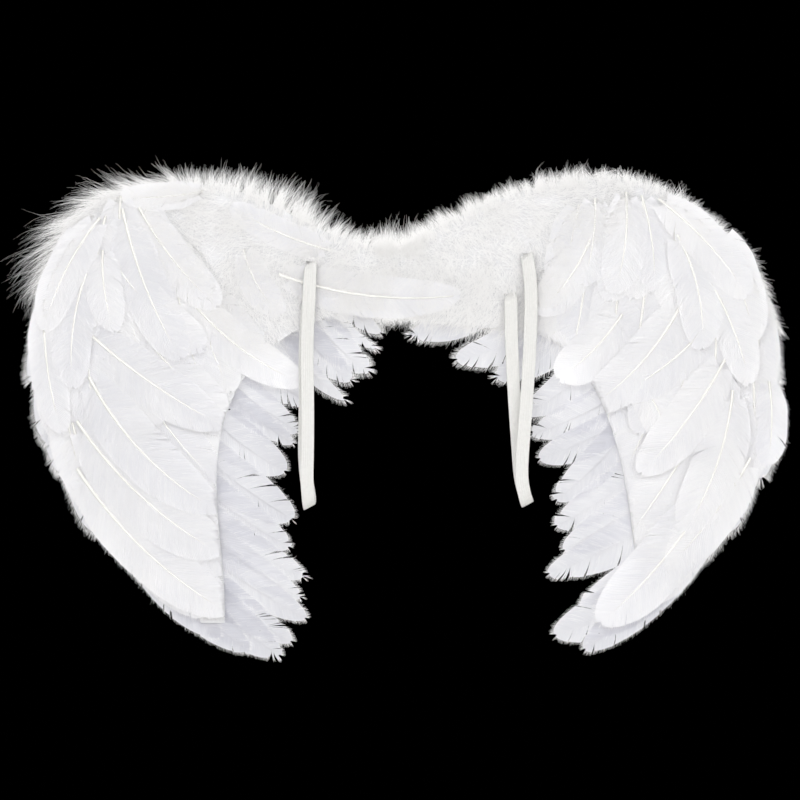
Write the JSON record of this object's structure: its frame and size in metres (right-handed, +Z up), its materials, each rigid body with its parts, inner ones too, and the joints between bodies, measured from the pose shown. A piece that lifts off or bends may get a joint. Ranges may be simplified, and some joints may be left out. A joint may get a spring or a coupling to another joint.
{
  "type": "feathered costume wings",
  "caption": "White feathered costume wings on a card folded at the neck, worn on the back by two elastic shoulder loops.",
  "frame": {"origin": "middle of the neck on the face of the card that lies on the wearer's back", "axes": "+X towards the right wing as seen from the wearer's side, +Z up, -Y towards the wearer's back"},
  "size_m": [0.6009, 0.047, 0.383],
  "materials": {
    "card": "matte",
    "feather": "satin",
    "down": "matte",
    "elastic": "matte"
  },
  "bodies": {
    "right_wing": {"right_board": "card", "right_edge_down": "down", "right_front_down": "down", "right_front_edge_feathers": "feather", "right_front_flight_feathers": "feather", "right_front_large_feathers": "feather", "right_front_middle_feathers": "feather", "right_front_shoulder_feathers": "feather", "right_loop_knots": "elastic", "right_loop_tails": "elastic", "right_rear_covert_feathers": "feather", "right_rear_down": "down", "right_rear_edge_feathers": "feather", "right_rear_flight_feathers": "feather", "right_rear_inner_feathers": "feather", "right_rear_neck_feathers": "feather", "right_rear_shoulder_feathers": "feather"},
    "left_wing": {"left_board": "card", "left_edge_down": "down", "left_front_down": "down", "left_front_edge_feathers": "feather", "left_front_flight_feathers": "feather", "left_front_large_feathers": "feather", "left_front_middle_feathers": "feather", "left_front_shoulder_feathers": "feather", "left_loop_knots": "elastic", "left_loop_tails": "elastic", "left_rear_covert_feathers": "feather", "left_rear_down": "down", "left_rear_edge_feathers": "feather", "left_rear_flight_feathers": "feather", "left_rear_inner_feathers": "feather", "left_rear_neck_feathers": "feather", "left_rear_shoulder_feathers": "feather", "neck_feather": "feather"},
    "left_loop": {"left_loop": "elastic"},
    "right_loop": {"right_loop": "elastic"}
  },
  "joints": [
    {"name": "centre_fold", "type": "hinge", "parent": "right_wing", "child": "left_wing", "pos_m": [0, 0.002, 0], "axis": [0, 0, -1], "range_deg": [0, 120]},
    {"name": "left_loop_swing", "type": "hinge", "parent": "left_wing", "child": "left_loop", "pos_m": [-0.0705, -0.0129, -0.022], "axis": [-1, 0, 0], "range_deg": [0, 150]},
    {"name": "right_loop_swing", "type": "hinge", "parent": "right_wing", "child": "right_loop", "pos_m": [0.0935, -0.0129, -0.017], "axis": [-1, 0, 0], "range_deg": [0, 150]}
  ]
}
